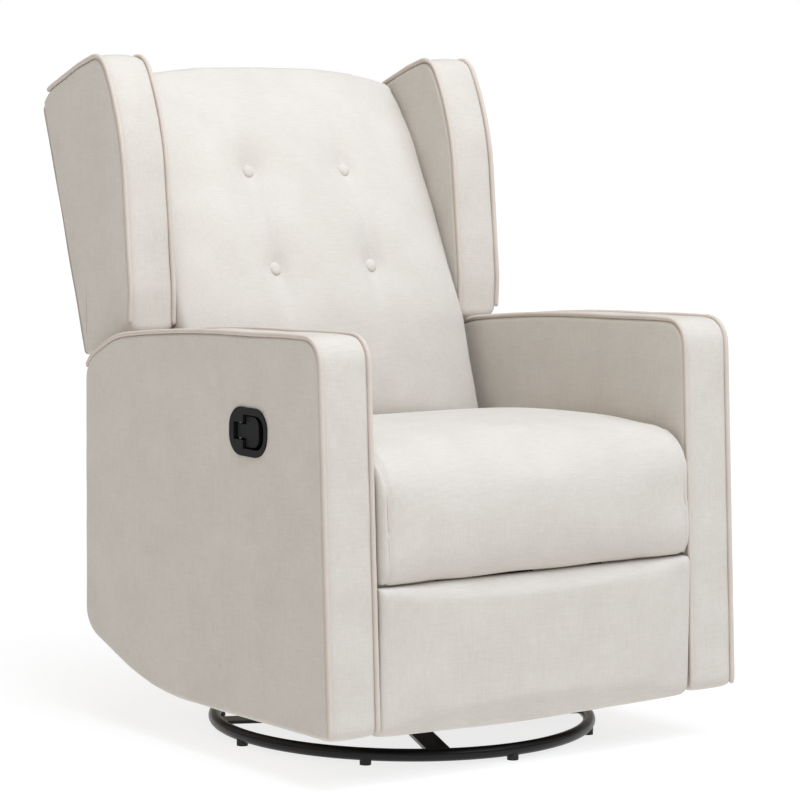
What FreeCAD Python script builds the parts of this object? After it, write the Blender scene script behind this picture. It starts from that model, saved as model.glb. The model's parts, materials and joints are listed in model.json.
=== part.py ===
"""Swivel glider nursery chair with a reclining wing back and a folding footrest.

Millimetres. +Z is up, the sitter faces -Y and +X is on the sitter's left. The origin is on
the floor, under the middle of the whole chair.
"""
import FreeCAD, Part
import math
import os
import Sketcher

V = FreeCAD.Vector
Rotation = FreeCAD.Rotation
Placement = FreeCAD.Placement

SIZES = {
    # base: a round tube ring on small feet, with two flat bars crossing under the swivel
    "swivel_y": -72, "ring_path": 288, "ring_tube": 9.5, "ring_wall": 2, "ring_lift": 6,
    "base_turn": 65.3, "bar_width": 36, "bar_thick": 5, "foot_count": 8, "foot_reach": 8.5,
    "plate_reach": 80, "plate_thick": 3, "race_path": 60, "race_width": 16, "race_thick": 4,
    "ball_size": 3, "ball_count": 24, "ball_play": 0.3, "king_pin": 8, "king_head": 14,
    "bolt_size": 3, "bolt_head": 2.5, "bolt_spread": 66, "track_rise": 1.1,
    "king_long": 18, "king_cap_at": 14, "king_cap_high": 5,
    # glide stand and its four hanging links
    "stand_face": 154, "stand_thick": 4, "stand_foot": 130, "stand_top": 256,
    "link_length": 128, "link_half": 13, "link_inner": 158, "link_thick": 5,
    "link_spread": 100, "hang_z": 243, "pin_size": 5, "pin_play": 0.05, "bush_wall": 4,
    "head_thick": 2, "head_ratio": 1.6, "washer_gap": 0.8,
    "foot_bar_at": 60, "foot_bar_deep": 30, "foot_bar_high": 12,
    "tie_spread": 60, "tie_z": 190, "tie_size": 8,
    # chair frame under the seat
    "rail_inner": 168, "rail_thick": 4, "rail_front": -342, "rail_back": 140,
    "cross_low": 78, "cross_size": 20, "rail_high": 40,
    "seat_low": 300, "seat_rail_high": 45, "seat_rail_inner": 250, "seat_rail_outer": 274,
    "seat_front": -350, "seat_back": 100, "rail_width": 25, "tube_wall": 2,
    "spring_wire": 1.8, "spring_count": 5, "spring_pitch": 100, "spring_reach": 20,
    "spring_step": 22, "spring_inset": 8,
    # seat cushion and the panel behind it
    "lip_low": 286, "cushion_low": 352, "cushion_rear": 64, "cushion_rear_high": 452,
    "cushion_front_high": 478, "apron_y": 178, "apron_low": 110, "apron_thick": 12,
    "apron_high": 173, "deck_half": 264, "deck_rear": 138, "deck_thick": 6,
    # arms
    "arm_inner": 290.5, "arm_outer": 379, "pad_thick": 12,
    "arm_front_low": -409, "arm_front_high": -377, "arm_low": 75, "arm_top": 635,
    "arm_rear": 246, "cushion_half": 284, "panel_half": 286,
    # back: it leans, and its own depth and height are measured from the foot of its rear face
    "back_foot_y": 231, "back_foot_z": 400, "back_lean": 18.87, "back_half": 268,
    "post_inner": 233, "post_thick": 28, "shell_thick": 10, "back_high": 574,
    "wing_inner": 273, "wing_outer": 355, "wing_board": 12, "pivot_y": 148, "pivot_z": 400,
    "bracket_thick": 3, "back_plate": 269, "frame_plate": 275,
    "button_size": 10, "button_across": 92, "return_thick": 5.5, "return_deep": 46,
    # footrest
    "knee_y": -247, "knee_z": 275, "elbow_y": -192, "elbow_z": 124.6, "ankle_y": -352,
    "ankle_z": 215, "strap_thick": 4, "strap_half": 11, "strap_first": 240, "rivet": 4,
    "foot_face": -412, "foot_board": -384, "foot_back": -372, "foot_low": 65, "foot_top": 283,
    "foot_round": 10, "torque_size": 9,
    # release handle on the right arm
    "handle_y": -208, "handle_z": 490, "bezel_wide": 94, "bezel_high": 70, "cup_deep": 27,
    "hinge_y": -178, "hinge_x": -373, "paddle_thick": 6, "paddle_sunk": 2,
    "paddle_stem": 10, "paddle_neck": 21, "paddle_half": 22, "paddle_long": 53,
    "paddle_round": 14, "knuckle": 4.6, "handle_pin": 2, "handle_pin_long": 49,
    "room_play": 2.5, "room_rear": 5.5, "room_front": 70.5, "room_round": 20,
}

doc = FreeCAD.newDocument("glider_chair")
sheet = doc.addObject("Spreadsheet::Sheet", "Sizes")
for row, (name, value) in enumerate(SIZES.items(), 1):
    sheet.set("A%d" % row, name)
    sheet.set("B%d" % row, str(value))
    sheet.setAlias("B%d" % row, name)
doc.recompute()

nodes = {}


def words(size):
    """The sheet expression for a size: a number, or words naming cells."""
    text = str(size)
    for name in sorted(SIZES, key=len, reverse=True):
        text = text.replace("$" + name, "Sizes." + name)
    return text


def number(size):
    return float(sheet.evalExpression(words(size)))


def keep(label, shape_object):
    """Make an object a piece of the chair, under its own name."""
    shape_object.Label = label
    nodes[label] = shape_object
    return shape_object


def place(piece, x=0, y=0, z=0):
    for axis, size in (("x", x), ("y", y), ("z", z)):
        piece.setExpression("Placement.Base." + axis, words(size))
    return piece


def block(name, x, y, z, wide, deep, high):
    """A box from its lowest corner."""
    box = doc.addObject("Part::Box", name)
    for side, size in (("Length", wide), ("Width", deep), ("Height", high)):
        box.setExpression(side, words(size))
    return place(box, x, y, z)


def rod(name, x, y, z, radius, length, direction=(0, 0, 1)):
    """A cylinder from the middle of its first end."""
    cylinder = doc.addObject("Part::Cylinder", name)
    cylinder.Placement = Placement(V(0, 0, 0), Rotation(V(0, 0, 1), V(*direction)))
    cylinder.setExpression("Radius", words(radius))
    cylinder.setExpression("Height", words(length))
    return place(cylinder, x, y, z)


def group(name, members):
    compound = doc.addObject("Part::Compound", name)
    compound.Links = members
    return compound


def cut(name, base, tool):
    result = doc.addObject("Part::Cut", name)
    result.Base = base
    result.Tool = tool
    return result


def fuse(name, members):
    result = doc.addObject("Part::MultiFuse", name)
    result.Shapes = members
    return result


def mirror(name, source):
    """The same piece on the chair's other side."""
    result = doc.addObject("Part::Mirroring", name)
    result.Source = source
    result.Normal = V(1, 0, 0)
    return result


def pair(name, source):
    return group(name, [source, mirror(name + "_twin", source)])


def add_loop(sketch, points, arcs):
    """A closed outline, counter-clockwise. arcs gives the radius of a side that is round
    and swells outwards, by the number of the point where the side starts."""
    first = sketch.GeometryCount
    ends = [V(number(a), number(b), 0) for a, b in points]
    for i, start in enumerate(ends):
        end = ends[(i + 1) % len(ends)]
        if i in arcs:
            radius = number(arcs[i])
            side = end - start
            inward = V(-side.y, side.x, 0).normalize()
            centre = (start + end) * 0.5 + inward * math.sqrt(radius ** 2 - side.Length ** 2 / 4)
            low = math.atan2(start.y - centre.y, start.x - centre.x)
            high = math.atan2(end.y - centre.y, end.x - centre.x)
            circle = Part.Circle(centre, V(0, 0, 1), radius)
            high += 2 * math.pi if high < low else 0
            sketch.addGeometry(Part.ArcOfCircle(circle, low, high), False)
        else:
            sketch.addGeometry(Part.LineSegment(start, end), False)
    for i in range(len(ends)):
        after = first + (i + 1) % len(ends)
        sketch.addConstraint(Sketcher.Constraint("Coincident", first + i, 2, after, 1))
    for i, (a, b) in enumerate(points):
        for kind, size in (("DistanceX", a), ("DistanceY", b)):
            rule = Sketcher.Constraint(kind, -1, 1, first + i, 1, number(size))
            sketch.setExpression("Constraints[%d]" % sketch.addConstraint(rule), words(size))
    for i, radius in arcs.items():
        rule = sketch.addConstraint(Sketcher.Constraint("Radius", first + i, number(radius)))
        sketch.setExpression("Constraints[%d]" % rule, words(radius))


def add_hole(sketch, a, b, radius):
    centre = V(number(a), number(b), 0)
    hole = sketch.addGeometry(Part.Circle(centre, V(0, 0, 1), number(radius)), False)
    for kind, size in (("DistanceX", a), ("DistanceY", b)):
        rule = Sketcher.Constraint(kind, -1, 1, hole, 3, number(size))
        sketch.setExpression("Constraints[%d]" % sketch.addConstraint(rule), words(size))
    rule = sketch.addConstraint(Sketcher.Constraint("Radius", hole, number(radius)))
    sketch.setExpression("Constraints[%d]" % rule, words(radius))


def make_sketch(body, name, plane, start, points, arcs=None, holes=(), window=None):
    sketch = body.newObject("Sketcher::SketchObject", name)
    face = [item for item in body.Origin.OriginFeatures if item.Role == plane][0]
    sketch.AttachmentSupport = [(face, "")]
    sketch.MapMode = "FlatFace"
    sketch.setExpression("AttachmentOffset.Base.z", words(start))
    add_loop(sketch, points, arcs or {})
    if window:
        add_loop(sketch, window, {})
    for hole in holes:
        add_hole(sketch, *hole)
    return sketch


def slab(name, points, start, thick, arcs=None, holes=(), window=None, leaning=False,
         plane="YZ_Plane"):
    """A flat piece padded from an outline. On YZ_Plane the outline is the side view, as
    (y, z), and start and thick run along X. A leaning piece is drawn in the back's own
    depth and height."""
    body = doc.addObject("PartDesign::Body", name)
    sketch = make_sketch(body, name + "_outline", plane, start, points, arcs, holes, window)
    pad = body.newObject("PartDesign::Pad", name + "_pad")
    pad.Profile = sketch
    pad.setExpression("Length", words(thick))
    if leaning:
        turn = Rotation(V(1, 0, 0), -number("$back_lean"))
        body.Placement = Placement(V(0, 0, 0), turn)
        place(body, 0, "$back_foot_y", "$back_foot_z")
    return body


def rectangle(low_a, low_b, high_a, high_b):
    return [(low_a, low_b), (high_a, low_b), (high_a, high_b), (low_a, high_b)]


def round_rectangle(centre_a, centre_b, wide, high, corner):
    """Points and arcs of a rectangle with round corners."""
    half_a = number(wide) / 2
    half_b = number(high) / 2
    middle_a = number(centre_a)
    middle_b = number(centre_b)
    points = []
    for sign_a, sign_b, first in ((1, -1, False), (1, 1, True), (-1, 1, False), (-1, -1, True)):
        near_a = (middle_a + sign_a * (half_a - corner), middle_b + sign_b * half_b)
        near_b = (middle_a + sign_a * half_a, middle_b + sign_b * (half_b - corner))
        points += [near_b, near_a] if first else [near_a, near_b]
    return points, {0: corner, 2: corner, 4: corner, 6: corner}


def strap(name, ends, half, start, thick, end_holes):
    """A flat link with round ends, from one pivot to the other."""
    (ay, az), (by, bz) = [(number(y), number(z)) for y, z in ends]
    length = math.hypot(by - ay, bz - az)
    across_y = -(bz - az) / length * number(half)
    across_z = (by - ay) / length * number(half)
    points = [(ay - across_y, az - across_z), (by - across_y, bz - across_z),
              (by + across_y, bz + across_z), (ay + across_y, az + across_z)]
    rounds = {1: "%s + 0.001" % words(half), 3: "%s + 0.001" % words(half)}
    holes = [(y, z, r) for (y, z), r in zip(ends, end_holes)]
    return slab(name, points, start, thick, rounds, holes)


def make_base():
    """Ring, feet, crossed bars and the lower half of the swivel bearing."""
    ring = doc.addObject("Part::Torus", "ring_outside")
    bore = doc.addObject("Part::Torus", "ring_bore")
    for torus, tube in ((ring, "$ring_tube"), (bore, "$ring_tube - $ring_wall")):
        torus.setExpression("Radius1", words("$ring_path"))
        torus.setExpression("Radius2", words(tube))
        place(torus, 0, "$swivel_y", "$ring_lift + $ring_tube")
    keep("base_ring", cut("ring", ring, bore))

    bar_z = "$ring_lift + $ring_tube - $bar_thick / 2"
    bars = []
    bolts = []
    for i in range(4):
        turn = number("$base_turn") + 90 * i
        start = 0 if i in (0, 2) else number("$bar_width / 2")
        bar = doc.addObject("Part::Box", "bar_%d" % i)
        bar.setExpression("Length", words("$ring_path - %s" % start))
        bar.setExpression("Width", words("$bar_width"))
        bar.setExpression("Height", words("$bar_thick"))
        along = Rotation(V(0, 0, 1), turn)
        bar.Placement = Placement(V(0, 0, 0), along)
        corner = along.multVec(V(start, -number("$bar_width / 2"), 0))
        place(bar, corner.x, "$swivel_y + %.6f" % corner.y, bar_z)
        bars.append(bar)
        spot = along.multVec(V(number("$bolt_spread"), 0, 0))
        shank = rod("bolt_%d" % i, spot.x, "$swivel_y + %.6f" % spot.y, bar_z,
                    "$bolt_size", "$bar_thick + $plate_thick")
        head = rod("bolt_head_%d" % i, spot.x, "$swivel_y + %.6f" % spot.y,
                   "%s - $bolt_head" % bar_z, "$bolt_size * 2", "$bolt_head")
        bolts.append(fuse("base_bolt_%d" % i, [shank, head]))
    all_bolts = keep("base_bolts", group("base_bolts", bolts))
    doc.recompute()
    clear = group("bar_tools", [ring] + bolts)
    long_bar = fuse("long_bar_blank", [bars[0], bars[2]])
    keep("base_long_bar", cut("long_bar", long_bar, clear))
    keep("base_short_bars", cut("short_bars", group("short_bar_blanks", bars[1::2]), clear))

    feet = []
    for i in range(SIZES["foot_count"]):
        angle = math.radians(number("$base_turn") + (i + 0.5) * 360 / SIZES["foot_count"])
        reach = number("$ring_path")
        feet.append(rod("foot_%d" % i, reach * math.cos(angle),
                        "$swivel_y + %.6f" % (reach * math.sin(angle)), 0,
                        "$foot_reach", "$ring_lift + $ring_tube / 2"))
    keep("base_feet", cut("feet", group("foot_blanks", feet), ring))

    plate_z = "$ring_lift + $ring_tube + $bar_thick / 2"
    plate = rod("lower_plate_blank", 0, "$swivel_y", plate_z, "$plate_reach", "$plate_thick")
    keep("swivel_lower_plate", cut("lower_plate", plate, all_bolts))
    race_z = "%s + $plate_thick" % plate_z
    groove = doc.addObject("Part::Torus", "ball_track")
    groove.setExpression("Radius1", words("$race_path"))
    groove.setExpression("Radius2", words("$ball_size + $pin_play"))
    ball_z = "%s + $race_thick + $track_rise" % race_z
    place(groove, 0, "$swivel_y", ball_z)
    keep("lower_race", cut("lower_race_cut", race("lower_race_blank", race_z), groove))
    balls = []
    for i in range(SIZES["ball_count"]):
        angle = 2 * math.pi * i / SIZES["ball_count"]
        ball = doc.addObject("Part::Sphere", "ball_%d" % i)
        ball.setExpression("Radius", words("$ball_size"))
        balls.append(place(ball, "$race_path * %.9f" % math.cos(angle),
                           "$swivel_y + $race_path * %.9f" % math.sin(angle), ball_z))
    keep("swivel_balls", group("swivel_balls", balls))
    stud = rod("king_stud", 0, "$swivel_y", race_z, "$king_pin", "$king_long")
    head = rod("king_cap", 0, "$swivel_y", "%s + $king_cap_at" % race_z, "$king_head",
               "$king_cap_high")
    keep("king_pin", fuse("king_pin_fused", [stud, head]))
    return ball_z


def race(name, z):
    """A flat bearing ring."""
    outside = rod(name + "_disc", 0, "$swivel_y", z, "$race_path + $race_width / 2",
                  "$race_thick")
    inside = rod(name + "_hole", 0, "$swivel_y", z, "$race_path - $race_width / 2",
                 "$race_thick")
    return cut(name, outside, inside)


def make_stand(ball_z):
    """Upper half of the swivel and the stand that the links hang from."""
    race_z = "%s + $track_rise" % ball_z
    groove = doc.addObject("Part::Torus", "upper_ball_track")
    groove.setExpression("Radius1", words("$race_path"))
    groove.setExpression("Radius2", words("$ball_size + $ball_play"))
    place(groove, 0, "$swivel_y", ball_z)
    keep("upper_race", cut("upper_race_cut", race("upper_race_blank", race_z), groove))
    plate_z = "%s + $race_thick" % race_z
    plate = rod("upper_plate_blank", 0, "$swivel_y", plate_z, "$plate_reach", "$plate_thick")
    hole = rod("upper_plate_hole", 0, "$swivel_y", plate_z, "$king_pin + $pin_play",
               "$plate_thick")
    keep("swivel_upper_plate", cut("upper_plate", plate, hole))

    foot_z = number("%s + $plate_thick" % plate_z)
    foot_bars = [block("foot_bar_%d" % i, "-$stand_face + $stand_thick", y, foot_z,
                       "2 * ($stand_face - $stand_thick)", "$foot_bar_deep", "$foot_bar_high")
                 for i, y in enumerate(("$swivel_y - $foot_bar_at",
                                        "$swivel_y + $foot_bar_at - $foot_bar_deep"))]
    keep("stand_foot_bars", group("stand_foot_bars", foot_bars))
    side = [("$swivel_y - $stand_foot", foot_z), ("$swivel_y + $stand_foot", foot_z),
            ("$swivel_y + $link_spread + $link_half", "$stand_top - $link_half"),
            ("$swivel_y + $link_spread", "$stand_top"),
            ("$swivel_y - $link_spread", "$stand_top"),
            ("$swivel_y - $link_spread - $link_half", "$stand_top - $link_half")]
    plate = slab("stand_side", side, "$stand_face - $stand_thick", "$stand_thick",
                 {2: "$link_half + 0.001", 4: "$link_half + 0.001"})
    keep("stand_side_plates", pair("stand_side_pair", plate))
    ties = [rod("tie_%d" % sign, "-$stand_face + $stand_thick",
                "$swivel_y + %d * $tie_spread" % sign, "$tie_z", "$tie_size",
                "2 * ($stand_face - $stand_thick)", (1, 0, 0)) for sign in (-1, 1)]
    keep("stand_tie_rods", group("stand_tie_rods", ties))

    low_z = "($hang_z - $link_length)"
    upper = []
    lower = []
    for where, sign in (("front", -1), ("rear", 1)):
        y = "$swivel_y + %d * $link_spread" % sign
        bush_outside = "$pin_size + $bush_wall"
        link = strap(where + "_link", [(y, "$hang_z"), (y, low_z)], "$link_half",
                     "$link_inner", "$link_thick", [bush_outside, bush_outside])
        keep(where + "_glide_links", pair(where + "_link_pair", link))
        bushes = []
        for z in ("$hang_z", low_z):
            ring = rod("%s_bush_%s" % (where, len(bushes)), "$link_inner", y, z, bush_outside,
                       "$link_thick", (1, 0, 0))
            bore = rod("%s_bush_bore_%s" % (where, len(bushes)), "$link_inner", y, z,
                       "$pin_size + $pin_play", "$link_thick", (1, 0, 0))
            bushes.append(cut("%s_bush_cut_%s" % (where, len(bushes)), ring, bore))
        keep(where + "_link_bushes", pair(where + "_bush_pair",
                                          group(where + "_bush_side", bushes)))
        upper.append(pin(where + "_hang_pin", "$link_inner + $link_thick + $washer_gap",
                         "$stand_face", y, "$hang_z"))
        lower.append(pin(where + "_low_pin", "$link_inner - $washer_gap", "$rail_inner", y, low_z))
    keep("upper_glide_pins", pair("upper_glide_pin_pair", group("upper_pins", upper)))
    keep("lower_glide_pins", pair("lower_glide_pin_pair", group("lower_pins", lower)))


def pin(name, seat, tip, y, z, radius="$pin_size"):
    """A pin along X, from under its head, at seat, to its tip."""
    long = number(tip) - number(seat)
    way = 1 if long > 0 else -1
    shank = rod(name + "_shank", seat, y, z, radius, abs(long), (way, 0, 0))
    cap = rod(name + "_head", seat, y, z, "(%s) * $head_ratio" % radius, "$head_thick", (-way, 0, 0))
    return fuse(name, [shank, cap])


def make_under_frame():
    """Steel rails that the links carry, and the wooden seat frame with its springs."""
    rail_z = "$cross_low + $cross_size"
    rail = block("side_rail", "$rail_inner", "$rail_front", rail_z, "$rail_thick",
                 "$rail_back - $rail_front", "$rail_high")
    keep("side_rails", pair("side_rail_pair", rail))
    tubes = []
    for label, y in (("front_tube", "$rail_front"),
                     ("rear_tube", "$rail_back - $cross_size")):
        outside = block(label + "_outside", "-$arm_inner", y, "$cross_low", "2 * $arm_inner",
                        "$cross_size", "$cross_size")
        inside = block(label + "_inside", "-$arm_inner", "%s + $tube_wall" % y,
                       "$cross_low + $tube_wall",
                       "2 * $arm_inner", "$cross_size - 2 * $tube_wall",
                       "$cross_size - 2 * $tube_wall")
        tubes.append(cut(label, outside, inside))
    keep("cross_tubes", group("cross_tubes", tubes))

    side = block("seat_side_rail", "$seat_rail_inner", "$seat_front + $rail_width",
                 "$seat_low", "$seat_rail_outer - $seat_rail_inner",
                 "$seat_back - $seat_front - $rail_width", "$seat_rail_high")
    keep("seat_side_rails", pair("seat_side_rail_pair", side))
    keep("seat_front_rail", block("seat_front_rail", "-$seat_rail_outer", "$seat_front",
                                  "$seat_low", "2 * $seat_rail_outer", "$rail_width",
                                  "$seat_rail_high"))
    keep("seat_rear_rail", block("seat_rear_rail", "-$seat_rail_inner",
                                 "$seat_back - $rail_width", "$seat_low",
                                 "2 * $seat_rail_inner", "$rail_width", "$seat_rail_high"))
    spring_z = number("$seat_low + $seat_rail_high + $spring_wire")
    count = SIZES["spring_count"]
    springs = [sinuous_spring("seat_spring_%d" % i, (i - (count - 1) / 2) * SIZES["spring_pitch"],
                              spring_z) for i in range(count)]
    keep("seat_springs", group("seat_springs", springs))


def sinuous_spring(name, x, z):
    """A flat wire spring of straight runs and round bends, from rail to rail."""
    reach = SIZES["spring_reach"]
    step = SIZES["spring_step"]
    start = number("$seat_front + $spring_inset")
    count = int((number("$seat_back - $spring_inset") - start) // step)
    edges = []
    for i in range(count):
        y = start + i * step
        sign = 1 if i % 2 else -1
        edges.append(Part.LineSegment(V(x - sign * reach, y, z), V(x + sign * reach, y, z)))
        if i < count - 1:
            middle = V(x + sign * (reach + step / 2), y + step / 2, z)
            edges.append(Part.Arc(V(x + sign * reach, y, z), middle,
                                  V(x + sign * reach, y + step, z)))
    path = Part.Wire([edge.toShape() for edge in edges])
    circle = Part.Circle(V(x + reach, start, z), V(1, 0, 0), number("$spring_wire"))
    section = Part.Wire([circle.toShape()])
    spring = doc.addObject("Part::Feature", name)
    spring.Shape = path.makePipeShell([section], True, False)
    return spring


def make_seat_cushion():
    """Foam and cover: a thick pad with a front border that drops in front of the frame."""
    outline = [("$seat_front - 46", "$lip_low + 1"), ("$seat_front - 2", "$lip_low"),
               ("$seat_front - 2", "$cushion_low"), ("$cushion_rear", "$cushion_low"),
               ("$cushion_rear", "$cushion_rear_high"), (-330, "$cushion_front_high"),
               ("$seat_front - 56", 425), ("$seat_front - 62", 345)]
    cushion = slab("seat_block", outline, "-$cushion_half", "2 * $cushion_half",
                   {4: 1600, 5: 70, 7: 70})
    deck_outline = [("$cushion_rear - 2", "$cushion_rear_high - 26"), ("$deck_rear", 399),
                    ("$deck_rear", "399 + $deck_thick"),
                    ("$cushion_rear - 2", "$cushion_rear_high - 20 + $deck_thick / 2")]
    deck = slab("seat_deck", deck_outline, "-$deck_half", "2 * $deck_half")
    keep("seat_cushion", fuse("seat_cushion_fused", [cushion, deck]))
    keep("rear_apron", block("rear_apron", "-$panel_half", "$apron_y", "$apron_low",
                             "2 * $panel_half", "$apron_thick", "$apron_high"))


# the arm's side view: bottom, rear, rounded rear top, top and leaning front
ARM_OUTLINE = [("$arm_front_low + 8", "$arm_low"), (-60, "$arm_low - 3"), (53, 80),
               (197, 127), ("$arm_rear - 3", 165), ("$arm_rear", 536), (204, 576),
               (118, 605), (-203, 629), (-345, "$arm_top"), ("$arm_front_high", 600),
               ("$arm_front_low", "$arm_low + 8")]
ARM_ARCS = {1: 700, 2: 900, 3: 58, 5: 62, 6: 190, 7: 3000, 8: 3000, 9: 37, 11: 8.2}
# the timber of the frame lies inside the padding all round
FRAME_OUTLINE = [("$arm_front_low + 24", 90), (52, 96), (190, 143), ("$arm_rear - 16", 178),
                 ("$arm_rear - 14", 526), (196, 558), (112, 588), (-204, 612), (-340, 615),
                 (-362, 596)]
FRAME_WINDOW = [("$arm_front_low + 64", 130), (48, 136), (185, 190), (190, 505), (105, 545),
                (-200, 570), (-330, 572)]


def make_arm():
    """One arm in layers from the seat outwards: inner pad, timber frame inside a padded
    band, and outer panel. The right arm's outer panel has the hole of the release handle."""
    band_start = "$arm_inner + $pad_thick"
    band_width = "$arm_outer - $arm_inner - 2 * $pad_thick + 1.5"
    frame = slab("arm_frame", FRAME_OUTLINE, "%s + 0.5" % band_start, "%s - 1" % band_width,
                 window=FRAME_WINDOW)
    inner = slab("arm_inner_pad", ARM_OUTLINE, "$arm_inner", "$pad_thick", ARM_ARCS)
    outer = slab("arm_outer_panel", ARM_OUTLINE, "$arm_outer - 10.5", 10.5, ARM_ARCS)
    sleeve = slab("arm_sleeve", ARM_OUTLINE, band_start, band_width, ARM_ARCS)
    core = slab("arm_core", FRAME_OUTLINE, band_start, band_width)
    band = cut("arm_band_cut", sleeve, core)
    keep("arm_frames", pair("arm_frame_pair", frame))
    for label, piece in (("arm_inner_pad", inner), ("arm_band", band)):
        keep(label + "_left", piece)
        keep(label + "_right", mirror(label + "_mirror", piece))
    keep("arm_outer_panel_left", outer)
    wall_points, wall_arcs = round_rectangle("$handle_y", "$handle_z", "$bezel_wide - 10",
                                             "$bezel_high - 10", 26)
    hole = slab("handle_hole", wall_points, "-$arm_outer", 10.5, wall_arcs)
    keep("arm_outer_panel_right", cut("outer_panel_cut", mirror("outer_mirror", outer), hole))


def make_handle():
    """Cup let into the right arm, and the paddle that pivots in it on an upright pin."""
    face = "(-$arm_outer - 3)"
    flange, flange_arcs = round_rectangle("$handle_y", "$handle_z", "$bezel_wide",
                                          "$bezel_high", 30)
    wall, wall_arcs = round_rectangle("$handle_y", "$handle_z", "$bezel_wide - 10",
                                      "$bezel_high - 10", 26)
    room, room_arcs = tee("$room_rear", "$paddle_neck - $room_play", "$room_front",
                          "$paddle_stem + $room_play", "$paddle_half + $room_play",
                          "$room_round")
    lip = slab("bezel_flange", flange, face, 3, flange_arcs)
    cup = slab("bezel_cup", wall, face, "$cup_deep", wall_arcs)
    recess = slab("bezel_room", room, face, "$cup_deep - 2", room_arcs)
    shell = cut("bezel_cut", fuse("bezel_blank", [lip, cup]), recess)
    pin_low = "$handle_z - $handle_pin_long / 2"
    bore = rod("bezel_pin_bore", "$hinge_x", "$hinge_y", pin_low, "$handle_pin",
               "$handle_pin_long")
    keep("handle_bezel", cut("handle_bezel_cut", shell, bore))
    keep("handle_pin", rod("handle_pin", "$hinge_x", "$hinge_y", pin_low, "$handle_pin",
                           "$handle_pin_long"))

    outline, arcs = tee(0, "$paddle_neck", "$paddle_long", "$paddle_stem", "$paddle_half",
                        "$paddle_round")
    blade = slab("paddle_blade", outline, "$hinge_x - $paddle_thick / 2 - $paddle_sunk",
                 "$paddle_thick", arcs)
    stem_low = "$handle_z - $paddle_stem"
    knuckle = rod("paddle_knuckle", "$hinge_x", "$hinge_y", stem_low, "$knuckle",
                  "2 * $paddle_stem")
    axle = rod("paddle_bore", "$hinge_x", "$hinge_y", stem_low, "$handle_pin + $pin_play",
               "2 * $paddle_stem")
    keep("release_paddle", cut("paddle_cut", fuse("paddle_blank", [blade, knuckle]), axle))


def tee(rear, neck, front, stem, half, corner):
    """Outline and arcs of a T that lies towards the front: a stem at the hinge and a wide
    head with round front corners. Lengths run forwards from the hinge."""
    start = "$hinge_y + (%s)" % rear
    shoulder = "$hinge_y - (%s)" % neck
    near = "$hinge_y - (%s) + (%s)" % (front, corner)
    end = "$hinge_y - (%s)" % front
    low, high = ["$handle_z %s (%s)" % (sign, stem) for sign in "-+"]
    under, over = ["$handle_z %s (%s)" % (sign, half) for sign in "-+"]
    points = [(start, low), (start, high), (shoulder, high), (shoulder, over), (near, over),
              (end, "%s - (%s)" % (over, corner)), (end, "%s + (%s)" % (under, corner)),
              (near, under), (shoulder, under), (shoulder, low)]
    return points, {4: corner, 6: corner}


def make_back():
    """Timber frame, webbing, cushion, two wings and the outer back, all leaning together."""
    post = slab("back_post", rectangle("-$shell_thick - $post_thick", -30, "-$shell_thick", 560),
                "$post_inner", "$back_half - $post_inner", leaning=True)
    keep("back_posts", pair("back_post_pair", post))
    rails = [slab(name, rectangle("-$shell_thick - $post_thick", low, "-$shell_thick", high),
                  "-$post_inner", "2 * $post_inner", leaning=True)
             for name, low, high in (("back_low_rail", 10, 55), ("back_top_rail", 515, 560))]
    keep("back_cross_rails", group("back_cross_rails", rails))
    webs = [slab("web_%d" % i, rectangle("-$shell_thick - $post_thick - 2.5", 95 + 85 * i,
                                         "-$shell_thick - $post_thick", 145 + 85 * i),
                 "-$back_half + 6", "2 * $back_half - 12", leaning=True) for i in range(5)]
    keep("back_webbing", group("back_webbing", webs))

    rear = "-$shell_thick - $post_thick - 8"
    outline = [(-165, -5), (rear, -12), (rear, 566), ("-$shell_thick - 2", 566),
               ("-$shell_thick - 2", 576), (-96, 597), (-190, 225)]
    blank = slab("cushion_blank", outline, "-$back_half", "2 * $back_half",
                 {4: 150, 5: 944, 6: 667}, leaning=True)
    domes = []
    for row, (depth, height) in enumerate(((-187, 250), (-158, 416))):
        for sign in (-1, 1):
            domes.append(button("button_%d_%d" % (row, sign), sign, depth, height))
    buttons = group("button_group", domes)
    keep("back_cushion", cut("cushion_cut", blank, buttons))
    keep("back_buttons", buttons)

    wing_outline = [(-141, 169), (-37, 157), ("-$shell_thick - 1", 166),
                    ("-$shell_thick - 1", 578), (-30, 590), (-129, 596), (-160, 595),
                    (-198, 568), (-196, 391), (-160, 229), (-144, 183)]
    board_outline = [(-120, 180), ("-$shell_thick - 1", 176), ("-$shell_thick - 1", 570),
                     (-150, 580), (-180, 550), (-180, 391), (-144, 229)]
    board_start = "($wing_inner + $wing_outer - $wing_board) / 2"
    board = slab("wing_board", board_outline, board_start, "$wing_board", leaning=True)
    blank = slab("wing_blank", wing_outline, "$wing_inner", "$wing_outer - $wing_inner",
                 {6: 34, 7: 400}, leaning=True)
    wing = cut("wing_cut", blank, board)
    keep("wing_boards", pair("wing_board_pair", board))
    keep("wing_pad_left", wing)
    keep("wing_pad_right", mirror("wing_pad_mirror", wing))

    shell = [("-$panel_half", -105), ("$panel_half", -105), ("$panel_half", 168),
             ("$wing_outer - 3", 168), ("$wing_outer - 3", "$back_high"),
             ("-$wing_outer + 3", "$back_high"), ("-$wing_outer + 3", 168),
             ("-$panel_half", 168)]
    panel = slab("outer_back_panel", shell, 0, "$shell_thick", leaning=True,
                 plane="XZ_Plane")
    side = slab("outer_back_side", rectangle("-$return_deep", -105, 0, 156),
                "$panel_half - $return_thick", "$return_thick", leaning=True)
    keep("outer_back", fuse("outer_back_fused", [panel, pair("outer_back_sides", side)]))


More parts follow.
